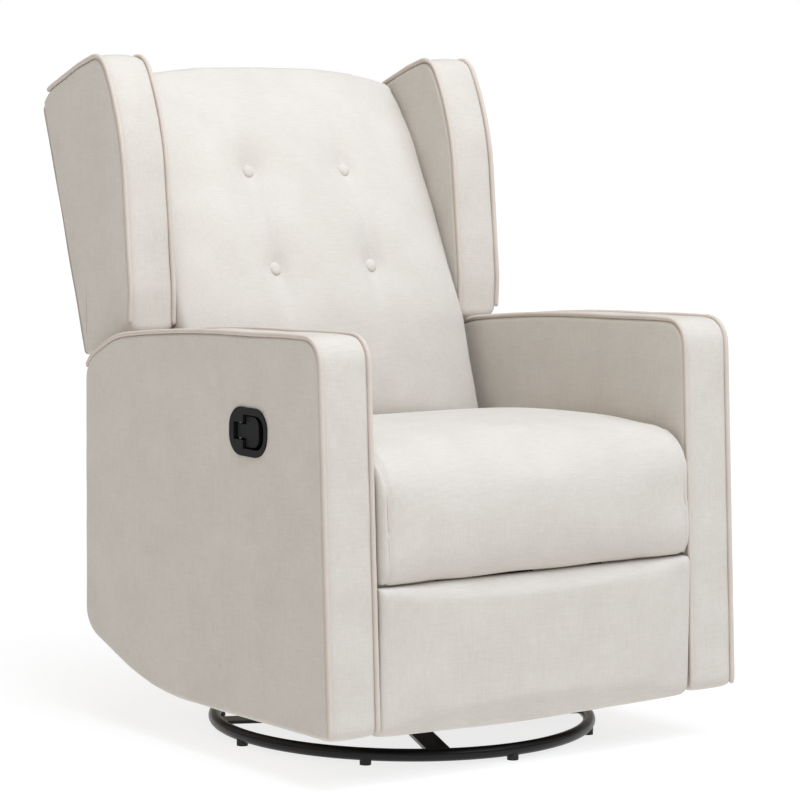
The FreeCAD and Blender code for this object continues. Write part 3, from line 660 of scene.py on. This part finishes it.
def make_wing(side):
    """A wing: crowned inner and outer faces, and a padded front and top between pipings."""
    hand = hand_of(side)
    seam_out = WING_OUT - 0.0040
    seam_in = WING_IN + 0.0040
    width = seam_out - seam_in
    across = [0, 0.02, 0.06, 0.13, 0.25, 0.4, 0.5, 0.6, 0.75, 0.87, 0.94, 0.98, 1]
    outer = [(WING_OUT - 0.0010, -0.0055, 0), (WING_OUT + 0.0005, -0.0095, 0)]
    outer += face_rings(WING_OUT + 0.0005, 1, 0.0030, -0.0095)
    inner = [(WING_IN + 0.0005, -0.0055, 0), (WING_IN - 0.0005, -0.0090, 0)]
    inner += face_rings(WING_IN - 0.0005, -1, 0.0020, -0.0090)
    bulge = [(seam_in + width * u, -0.0030 + 0.0062 * (1 - abs(2 * u - 1) ** 3.2) ** 0.7, 0)
             for u in across]
    wing = ring_solid("wing_cover_" + hand, WING_LOOP,
                      mirrored(inner[::-1] + bulge + outer, side), FABRIC, "backrest")
    set_points(wing, tuck_corner(get_points(wing)))
    ruffle(wing, 0.0012, 0.07, 11.0 * side)
    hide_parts("wing_pad_" + hand)
    for place, x in (("outer", seam_out + 0.0012), ("inner", seam_in - 0.0012)):
        tube("wing_%s_welt_%s" % (place, hand), tuck_corner(wing_welt_path(side * x)), WELT,
             PIPING, "backrest", uneven=0.06)


def wing_welt_path(x):
    """From the bottom of the wing's front edge, up and over to the top of its rear edge."""
    loop = WING_LOOP + outwards(WING_LOOP) * 0.0006
    own = upright(np.column_stack([np.zeros(len(loop)), loop]))
    foot_height, rear_depth = 0.176, -0.022
    front = int(np.argmin(np.abs(own[:, 2] - foot_height) + 100 * (own[:, 1] > -0.12)))
    rear = int(np.argmin(np.abs(own[:, 1] - rear_depth) + 100 * (own[:, 2] < 0.5)))
    return stretch_of(loop, rear, front, x)


# ------------------------------------------------------------------ seat and footrest

# places across a cushion, from -1 to 1, closer together towards its sides
COLUMNS = np.sin(np.linspace(-1, 1, 61) * math.pi / 2)


def capped_faces(rings, count):
    """The faces of a closed form from rings, with one flat face on each end."""
    ends = [tuple(a * count + i for i in range(count)) for a in (0, rings - 1)]
    return ring_faces(rings, count) + ends


def extruded_grid(name, loop, half, squeeze, body):
    """A closed form: an outline carried across in columns. squeeze(u) gives how far the
    outline stands out at u, from -1 at one end to 1 at the other."""
    normals = outwards(loop)
    points = []
    for u in COLUMNS:
        ring = loop + normals * squeeze(u)[:, None]
        points += [(u * half, y, z) for y, z in ring]
    return new_piece(name, points, capped_faces(len(COLUMNS), len(loop)), FABRIC, body)


def fullness(u, flat, round_off=0.6):
    """1 over the middle of a cushion, falling to 0 at its sides; flat is how abruptly."""
    return (1 - abs(u) ** flat) ** round_off if abs(u) < 1 else 0.0


def settle(piece, iterations):
    """Smooths a swollen form and makes its mesh finer."""
    modifier(piece, "SMOOTH", factor=0.5, iterations=iterations)
    modifier(piece, "SUBSURF", levels=1, render_levels=1)
    apply_modifiers(piece)


def make_seat():
    """Thick seat cushion: crowned top, front border that bulges over the footrest."""
    low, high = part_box("seat_cushion")
    half = high.x
    outline = side_loop("seat_cushion")
    lip = np.clip((0.33 - outline[:, 1]) / 0.03, 0, 1) * (outline[:, 0] < -0.34)
    outline = outline - np.column_stack([0.004 * lip * (outline[:, 0] < -0.37), 0.007 * lip])
    outline[outline[:, 0] > 0.055, 0] += 0.006
    loop = soften(resample(outline, 0.005), 2)
    normals = outwards(loop)
    upwards = np.clip(normals[:, 1], 0, 1)
    forwards = np.clip(-normals[:, 0], 0, 1)
    middle_y = np.exp(-((loop[:, 0] + 0.17) / 0.17) ** 2)

    def squeeze(u):
        edge = fullness(u, 9)
        crown = 1 - abs(u) ** 3
        top = -0.007 + 0.007 * edge + 0.011 * middle_y * crown
        front = -0.006 + 0.006 * edge
        return top * upwards + front * forwards

    half += 0.0045
    seat = extruded_grid("seat_cushion_cover", loop, half - 0.002, squeeze, "chair_frame")

    def free(points):
        side = np.clip((half - np.abs(points[:, 0])) / 0.035, 0.3, 1)
        above = np.clip((points[:, 2] - 0.36) / 0.05, 0, 1)
        ahead = np.clip((-0.36 - points[:, 1]) / 0.02, 0, 1)
        rear = np.clip((0.05 - points[:, 1]) / 0.06, 0, 1)
        return side * np.maximum(above, ahead) * rear

    inflate(seat, 3.5, 0.012, free)
    points = get_points(seat)
    points[:, 0] = np.clip(points[:, 0], -half - 0.001, half + 0.001)
    lowest = np.where(points[:, 1] < low.y + 0.085, low.z, 0.0)
    points[:, 2] = np.maximum(points[:, 2], lowest)
    set_points(seat, points)
    settle(seat, 4)
    groove = half - 0.013
    points = get_points(seat)
    deep = 0.0024 * np.exp(-((np.abs(points[:, 0]) - groove) / 0.0035) ** 2)
    set_points(seat, points - get_normals(seat) * deep[:, None])
    ruffle(seat, 0.0014, 0.09, 21.0)
    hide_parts("seat_cushion")
    for side in (-1, 1):
        keep = loop[(loop[:, 1] > 0.30) & ((loop[:, 0] < -0.36) | (loop[:, 1] > 0.42))]
        order = np.argsort(np.arctan2(keep[:, 1] - 0.36, keep[:, 0] + 0.15))
        line = keep[order][::-1]
        towards = [(0, -0.15 - y, 0.36 - z) for y, z in line]
        path = surface_line(seat, [(side * groove, y, z) for y, z in line], towards, 0.0002)
        path = soften(resample(path, 0.008, closed=False), 3, closed=False)
        tube("seat_seam_" + hand_of(side), path, SEAM, PIPING, "chair_frame")


def make_deck():
    """Dark lining that runs from the seat's rear edge to under the back."""
    points = get_points(NODES["seat_cushion"])
    tongue = points[points[:, 1] > 0.1]
    half, rear = np.abs(tongue[:, 0]).max(), tongue[:, 1].max()
    low, high = tongue[:, 2].min(), tongue[:, 2].max()
    front = side_loop("seat_cushion")[:, 0].max() - 0.010
    rise = 0.030
    corners = [(front, low + rise), (rear, low), (rear, high), (front, high + rise)]
    loop = rounded(corners, [0.001, 0.0015, 0.0015, 0.001], 0.002)
    profile = [(-half, -0.001, 0.9), (-half, -0.001, 0)]
    profile += [(x, 0.0004 * math.sin(x * 140), 0) for x in np.linspace(-half + 0.002,
                                                                      half - 0.002, 60)]
    profile += [(half, -0.001, 0), (half, -0.001, 0.9)]
    ring_solid("seat_deck_lining", loop, profile, LINING, "chair_frame")


def make_footrest():
    """Footrest panel: padded front, rounded edges, bottom edge lower in the middle."""
    low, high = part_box("footrest_pad")
    half = high.x
    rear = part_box("footrest_board")[1].y
    corners = [(low.y, low.z), (high.y, low.z), (rear, low.z + 0.010), (rear, high.z - 0.016),
               (high.y, high.z + 0.001), (low.y, high.z + 0.001)]
    loop = rounded(corners, [0.018, 0.008, 0.003, 0.003, 0.004, 0.010], 0.003)
    normals = outwards(loop)
    forwards = np.clip(-normals[:, 0], 0, 1)
    downwards = np.clip(-normals[:, 1], 0, 1) * (loop[:, 1] < 0.12)

    def squeeze(u):
        sag = (1 - u * u) * 0.005 - 0.005
        return (-0.005 + 0.005 * fullness(u, 16)) * forwards + sag * downwards

    half += 0.0022
    pad = extruded_grid("footrest_cover", loop, half, squeeze, "footrest")

    def free(points):
        side = np.clip((half - np.abs(points[:, 0])) / 0.04, 0.1, 1)
        ahead = np.clip((high.y - 0.008 - points[:, 1]) / 0.012, 0, 1)
        return side * ahead

    inflate(pad, 2.0, 0.006, free, voxel=0.006)
    settle(pad, 3)
    points = get_points(pad)
    points[:, 0] = np.clip(points[:, 0], -half, half)
    points[:, 1] = np.minimum(points[:, 1], rear - 0.0002)
    set_points(pad, points)
    ruffle(pad, 0.0008, 0.12, 31.0)
    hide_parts("footrest_pad", "footrest_board")


# ------------------------------------------------------------------ back

BUTTON_ACROSS = 0.092
BUTTON_ROWS = ((-0.189, 0.250), (-0.161, 0.416))


def back_edge(height):
    """Depth of the cushion's front where it meets the wings and arms."""
    return np.interp(height, [-0.01, 0.16, 0.242, 0.362, 0.477, 0.552, 0.586, 0.60],
                     [-0.160, -0.161, -0.149, -0.135, -0.119, -0.100, -0.084, -0.070])


def back_crown(height):
    """How far the middle of the cushion stands in front of its edges."""
    return np.interp(height, [-0.01, 0.05, 0.105, 0.18, 0.25, 0.33, 0.416, 0.49, 0.544, 0.60],
                     [0.004, 0.020, 0.031, 0.042, 0.048, 0.046, 0.041, 0.032, 0.023, 0.014])


BUTTONS = [(side * BUTTON_ACROSS, depth, height) for depth, height in BUTTON_ROWS
           for side in (-1, 1)]
BACK_REAR = -0.046


def near_front(own):
    """Which points, in the back's own depth and height, lie on the cushion's front."""
    return own[:, 1] < back_edge(own[:, 2]) + 0.03


def from_button(own, button):
    """How far each point is from a button, seen from the front."""
    return np.hypot(own[:, 0] - button[0], own[:, 2] - button[2])


def back_form():
    """The back cushion before it swells, as rings in upright planes side by side, and half
    its width."""
    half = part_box("back_cushion")[1].x + 0.003
    heights = np.linspace(-0.004, 0.572, 56)
    top_turn, turns = 0.022, 9
    points = []
    for u in COLUMNS:
        top = 0.588 + 0.023 * (1 - abs(u) ** 2.4)
        full = fullness(u, 3.0, 0.62)
        ring = []
        for height in heights:
            depth = back_edge(height) + 0.006 - (back_crown(height) - 0.001) * full
            ring.append((depth, height + (top - 0.592) * max(0, height - 0.3) / 0.27))
        front_depth, front_high = ring[-1]
        for k in range(1, turns):
            angle = math.pi / 2 * k / turns
            ring.append((front_depth + top_turn * (1 - math.cos(angle)),
                         front_high + (top - front_high) * math.sin(angle)))
        ring += [(front_depth + 0.045, top - 0.001), (-0.030, top - 0.010), (-0.016, 0.578),
                 (-0.014, 0.568), (-0.030, 0.566), (BACK_REAR, 0.566)]
        ring += [(BACK_REAR, height) for height in np.linspace(0.54, 0.0, 16)]
        ring += [(-0.080, -0.010), (-0.120, -0.010), (-0.150, -0.008)]
        points += [tuple(lean(u * half, d, h)) for d, h in ring]
    faces = capped_faces(len(COLUMNS), len(ring))
    return new_piece("back_cushion_cover", points, faces, FABRIC, "backrest"), half


def pull_in_buttons(own):
    """The cushion's front is drawn in round each button: a narrow dimple in a wide one."""
    pull = np.zeros(len(own))
    for button in BUTTONS:
        far = from_button(own, button)
        pull += 0.0075 * np.exp(-(far / 0.021) ** 2) + 0.0065 * np.exp(-(far / 0.060) ** 2)
    own[:, 1] += np.where(near_front(own), pull, 0)


def fold_between_buttons(own):
    """A soft upright fold joins the upper and lower button of each side."""
    lower, upper = BUTTON_ROWS[0][1], BUTTON_ROWS[1][1]
    beyond = np.clip(np.abs(own[:, 2] - (lower + upper) / 2) - 0.09, 0, 1)
    along = np.exp(-(beyond / 0.055) ** 2)
    fold = np.zeros(len(own))
    for side in (-1, 1):
        wander = 0.006 * np.sin((own[:, 2] - lower) / (upper - lower) * math.pi) * side
        off_line = (own[:, 0] - side * BUTTON_ACROSS - wander) / 0.015
        fold += 0.0042 * along * np.exp(-off_line ** 2)
    own[:, 1] += np.where(near_front(own), fold, 0)


def make_back_cushion():
    """Tufted back: crowned between the wings, pulled in by four buttons."""
    back, half = back_form()

    def free(points):
        own = upright(points)
        side = np.clip((half - np.abs(own[:, 0])) / 0.07, 0, 1)
        ahead = np.clip((-0.07 - own[:, 1]) / 0.04, 0, 1)
        high_up = np.clip((0.60 - own[:, 2]) / 0.03, 0, 1)
        pulled = np.ones(len(own))
        for button in BUTTONS:
            far = from_button(own, button)
            pulled = np.minimum(pulled, np.clip((far - 0.010) / 0.035, 0, 1))
        return side * ahead * high_up * pulled

    modifier(back, "REMESH", mode="VOXEL", voxel_size=0.007)
    apply_modifiers(back)
    move_leaning(back, pull_in_buttons)
    inflate(back, 3.0, 0.010, free)
    settle(back, 3)
    move_leaning(back, fold_between_buttons)
    ruffle(back, 0.0016, 0.10, 41.0)
    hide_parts("back_cushion")
    return back


def make_buttons(back):
    """Covered buttons: low domes with a turned-in rim, sunk in their dimples."""
    forwards = (lean(0, -1, 0) - lean(0, 0, 0)).normalized()
    tree = BVHTree.FromObject(back, bpy.context.evaluated_depsgraph_get())
    made = []
    radius, sides, foot = 0.0108, 40, -0.0036
    profile = [(0.0, 0.0062), (0.3, 0.0060), (0.55, 0.0055), (0.75, 0.0048), (0.89, 0.0038),
               (0.97, 0.0024), (1.0, 0.0008), (0.97, -0.0010), (0.86, -0.0026), (0.6, foot)]
    for number, (x, depth, height) in enumerate(BUTTONS):
        start = lean(x, depth - 0.05, height)
        spot, normal, _, _ = tree.ray_cast(start, -forwards)
        away = (forwards * 0.6 + normal * 0.4).normalized()
        turn = away.to_track_quat("Z", "Y").to_matrix()
        points = [spot + turn @ Vector((0, 0, profile[0][1]))]
        for share, rise in profile[1:]:
            for k in range(sides):
                angle = 2 * math.pi * k / sides
                points.append(spot + turn @ Vector((radius * share * math.cos(angle),
                                                    radius * share * math.sin(angle), rise)))
        points.append(spot + turn @ Vector((0, 0, foot)))
        faces = [(0, 1 + k, 1 + (k + 1) % sides) for k in range(sides)]
        for level in range(len(profile) - 2):
            for k in range(sides):
                a, b = 1 + level * sides + k, 1 + level * sides + (k + 1) % sides
                faces.append((a, a + sides, b + sides, b))
        last = 1 + (len(profile) - 2) * sides
        faces += [(len(points) - 1, last + (k + 1) % sides, last + k) for k in range(sides)]
        made.append(new_piece("button_%d" % number, points, faces, FABRIC, "backrest"))
    group = join("back_buttons_cover", made)
    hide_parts("back_buttons")


# ------------------------------------------------------------------ rear and base

PANEL_THICK = 0.0115


def back_panel(name, half, low, high, front, rear, radii, seed, wall, crown, wrinkle):
    """A padded panel of the outer back, rounded over its edges. wall is where its folded-in
    edge lies, crown how far its middle stands out, and wrinkle how uneven it is."""
    corners = [(-half, low), (half, low), (half, high), (-half, high)]
    loop = rounded(corners, radii)
    inner = max(front, rear - PANEL_THICK)
    profile = [(inner, wall, 0.9), (inner, wall, 0.3), (inner, wall, 0)]
    profile += [(front, wall, 0)] if front < inner else []
    profile += [(front, 0, 0), (rear + 0.0005, 0, 0), (rear + 0.0020, -0.0012, 0),
               (rear + 0.0032, -0.0035, 0), (rear + 0.0038, -0.0070, 0)]
    profile += face_rings(rear + 0.0038, 1, crown, -0.007)
    panel = ring_solid(name, loop, profile, FABRIC, "backrest",
                       place=lambda depth, x, height: lean(x, depth, height))
    ruffle(panel, wrinkle, 0.09, seed)
    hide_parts("outer_back")
    return panel


def make_outer_back():
    """The upholstered panels behind the back: wide behind the wings, narrow below them with
    sides that turn forwards beside the frame."""
    edges = upright([v.co for v in NODES["outer_back"].data.vertices])
    foot, top, rear = edges[:, 2].min(), edges[:, 2].max(), edges[:, 1].max()
    wide = edges[:, 0].max()
    narrow = edges[edges[:, 2] < foot + 0.01, 0].max()
    step = edges[(np.abs(edges[:, 0]) > narrow + 0.01), 2].min()
    split, skin, floor, returns = 0.0008, rear - 0.0008, rear - 0.010, 0.046
    upper = back_panel("outer_back_upper_cover", wide, step + split, top, rear - PANEL_THICK,
                       rear, [0.005, 0.005, 0.012, 0.012], seed=51.0, wall=-0.006,
                       crown=0.0035, wrinkle=0.0010)
    lower = back_panel("outer_back_lower_cover", narrow, foot, step - split, rear - returns,
                       rear, [0.006, 0.006, 0.004, 0.004], seed=54.0, wall=-0.0035,
                       crown=0.0004, wrinkle=0.00015)

    def clear_wings(own):
        hidden = (np.abs(own[:, 0]) > WING_IN - 0.004) & (own[:, 1] < skin)
        own[hidden, 1] = skin

    def clear_frame(own):
        between = (np.abs(own[:, 0]) < narrow - 0.0060) | (own[:, 2] > step - 0.014)
        own[(own[:, 1] < floor) & between, 1] = floor

    move_leaning(upper, clear_wings)
    move_leaning(lower, clear_frame)
    for x in (-narrow + 0.006, narrow - 0.006):
        line = [lean(x, rear + 0.004, h) for h in np.linspace(foot + 0.008, step - 0.006, 50)]
        towards = [tuple(lean(0, -1, 0) - lean(0, 0, 0))] * len(line)
        tube("outer_back_seam_" + hand_of(x), surface_line(lower, line, towards), SEAM * 0.7,
             PIPING, "backrest")
    line = [lean(x, rear + 0.0022, step) for x in np.linspace(-narrow, narrow, 60)]
    tube("outer_back_welt", line, 0.0024, PIPING, "backrest", uneven=0.05)


def make_apron():
    """The upholstered panel between the arms, under the back. A lip along its top stands
    behind the foot of the outer back and hides the gap."""
    low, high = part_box("rear_apron")
    corners = [(low.x, low.z), (high.x, low.z), (high.x, high.z), (low.x, high.z)]
    loop = rounded(corners, [0.006] * 4)
    profile = [(low.y, -0.02, 0.9), (low.y, -0.02, 0.3), (low.y, -0.005, 0),
               (low.y + 0.003, 0, 0), (high.y - 0.003, 0, 0), (high.y, -0.004, 0),
               (high.y + 0.001, -0.009, 0)]
    profile += face_rings(high.y + 0.001, 1, 0.0006, -0.009)
    apron = ring_solid("rear_apron_cover", loop, profile, FABRIC, "chair_frame",
                       place=lambda depth, x, height: (x, depth, height))
    points = get_points(apron)
    lip, fade = 0.0128, 0.03
    rise = np.clip((points[:, 2] - high.z + fade) / fade, 0, 1)
    points[:, 2] += lip * rise * (points[:, 1] > low.y + 0.006)
    set_points(apron, points)
    ruffle(apron, 0.00015, 0.09, 61.0)
    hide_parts("rear_apron")


def make_ring():
    """The bent tube of the base as a smooth ring."""
    low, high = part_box("base_ring")
    radius = (high.z - low.z) / 2
    sweep = (high.x - low.x) / 2 - radius
    steps, sides = 192, 28
    points = []
    for a in np.linspace(0, 2 * math.pi, steps, endpoint=False):
        for k in range(sides):
            b = 2 * math.pi * k / sides
            reach = sweep + radius * math.cos(b)
            points.append((BASE_CENTRE.x + reach * math.cos(a),
                           BASE_CENTRE.y + reach * math.sin(a),
                           BASE_CENTRE.z + radius * math.sin(b)))
    faces = ring_faces(steps, sides, closed=True)
    ring = new_piece("base_ring_tube", points, faces, STEEL, "base")
    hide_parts("base_ring")


def soften_handle():
    """Moulded edges on the handle's plastic parts."""
    for name, size in (("handle_bezel", 0.0012), ("release_paddle", 0.0010)):
        modifier(NODES[name], "BEVEL", width=size, segments=3, limit_method="ANGLE",
                 angle_limit=math.radians(40))


# ------------------------------------------------------------------ camera, light, floor

def place_camera():
    """The camera stands before the sitter's right, a little above the back."""
    scene = bpy.context.scene
    camera = bpy.data.objects.new("camera", bpy.data.cameras.new("camera"))
    scene.collection.objects.link(camera)
    turn, pitch, roll = -0.6402, 0.1058, 0.0124
    spot = Vector((-2.9021, -3.8813 + BASE_CENTRE.y, 1.0175))
    back = Vector((math.sin(turn) * math.cos(pitch), -math.cos(turn) * math.cos(pitch),
                   math.sin(pitch)))
    right = Vector((math.cos(turn), math.sin(turn), 0))
    up = back.cross(right)
    across = right * math.cos(roll) + up * math.sin(roll)
    above = up * math.cos(roll) - right * math.sin(roll)
    place = Matrix((across, above, back)).transposed().to_4x4()
    place.translation = spot
    camera.matrix_world = place
    camera.data.sensor_width = 36
    camera.data.lens = 143.9
    scene.camera = camera


def lay_floor():
    """A wide white floor that glows, so that it keeps only a faint shadow."""
    mesh = bpy.data.meshes.new("floor")
    reach = 120
    mesh.from_pydata([(-reach, -reach, 0), (reach, -reach, 0), (reach, reach, 0),
                      (-reach, reach, 0)], [], [(0, 1, 2, 3)])
    floor = bpy.data.objects.new("floor", mesh)
    bpy.context.scene.collection.objects.link(floor)
    material, _, shader = new_material("pale_floor")
    shader.inputs["Base Color"].default_value = (0.25, 0.25, 0.25, 1)
    shader.inputs["Roughness"].default_value = 0.9
    shader.inputs["Specular IOR Level"].default_value = 0.1
    shader.inputs["Emission Color"].default_value = (1, 1, 1, 1)
    shader.inputs["Emission Strength"].default_value = 0.8
    mesh.materials.append(material)


def paint_sky():
    """White at the horizon, warm and dimmer above it."""
    world = bpy.data.worlds.new("studio")
    world.use_nodes = True
    sky = world.node_tree
    place = sky.nodes.new("ShaderNodeTexCoord")
    split = sky.nodes.new("ShaderNodeSeparateXYZ")
    sky.links.new(place.outputs["Generated"], split.inputs[0])
    ramp = sky.nodes.new("ShaderNodeValToRGB")
    horizon, upper = ramp.color_ramp.elements
    horizon.position = 0.03
    horizon.color = (1, 1, 1, 1)
    upper.position = 0.14
    upper.color = (0.31, 0.265, 0.205, 1)
    sky.links.new(split.outputs["Z"], ramp.inputs[0])
    sky.links.new(ramp.outputs[0], sky.nodes["Background"].inputs[0])
    sky.nodes["Background"].inputs[1].default_value = 1.0
    bpy.context.scene.world = world


def hang_lamp(name, kind, spot, target, energy):
    """A lamp at a spot, pointed at a target."""
    data = bpy.data.lights.new(name, kind)
    data.energy = energy
    lamp = bpy.data.objects.new(name, data)
    bpy.context.scene.collection.objects.link(lamp)
    lamp.location = spot
    lamp.rotation_euler = (Vector(target) - lamp.location).to_track_quat("-Z", "Y").to_euler()
    return data


def make_stage():
    """Camera, floor, sky, a broad soft key light and a lamp overhead."""
    place_camera()
    lay_floor()
    paint_sky()
    key = hang_lamp("key", "SUN", (0.35, -1.55, 3.6), (0, 0, 0), 2.3)
    key.angle = math.radians(60)
    key.color = (0.87, 0.985, 1.15)
    overhead = hang_lamp("overhead", "AREA", (-0.30, -0.95, 2.5), (0.1, 0, 0.5), 20)
    overhead.size = 1.1
    bpy.context.scene.view_settings.view_transform = "Standard"


make_stage()
paint_cad_nodes()
for hand in (-1, 1):
    make_arm(hand)
    make_wing(hand)
make_seat()
make_footrest()
make_buttons(make_back_cushion())
make_outer_back()
make_apron()
make_deck()
make_ring()
soften_handle()
